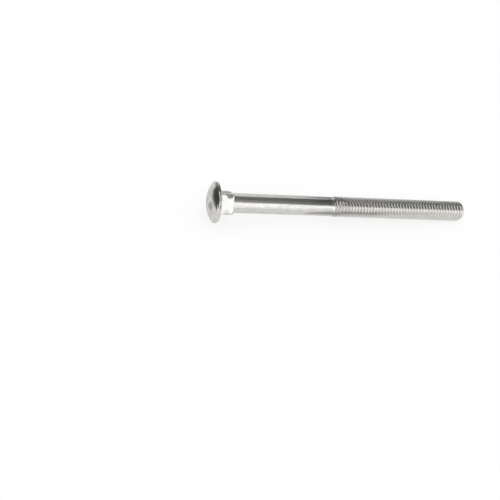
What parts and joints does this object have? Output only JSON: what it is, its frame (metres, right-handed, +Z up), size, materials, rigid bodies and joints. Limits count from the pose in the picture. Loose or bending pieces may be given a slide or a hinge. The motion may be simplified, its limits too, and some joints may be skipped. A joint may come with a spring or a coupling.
{
  "type": "carriage bolt",
  "caption": "Steel bolt with a shallow domed head, a square neck under it, a plain reduced shank and a long rolled thread with a tapered point.",
  "frame": {"origin": "centre of the footprint of the bolt as it lies, on the surface that it lies on", "axes": "+X from the head towards the point, +Z up; the bolt's own axis dips by 2.22 degrees towards the point, because it rests on the head's rim and on the thread's last crest"},
  "size_m": [0.1044, 0.0154, 0.0155],
  "materials": {
    "zinc_plated_steel": "bright zinc plating over forged and rolled steel, between satin and bright, with small pits and grey specks"
  },
  "bodies": {
    "root": {"carriage_bolt": "zinc_plated_steel"}
  },
  "joints": []
}
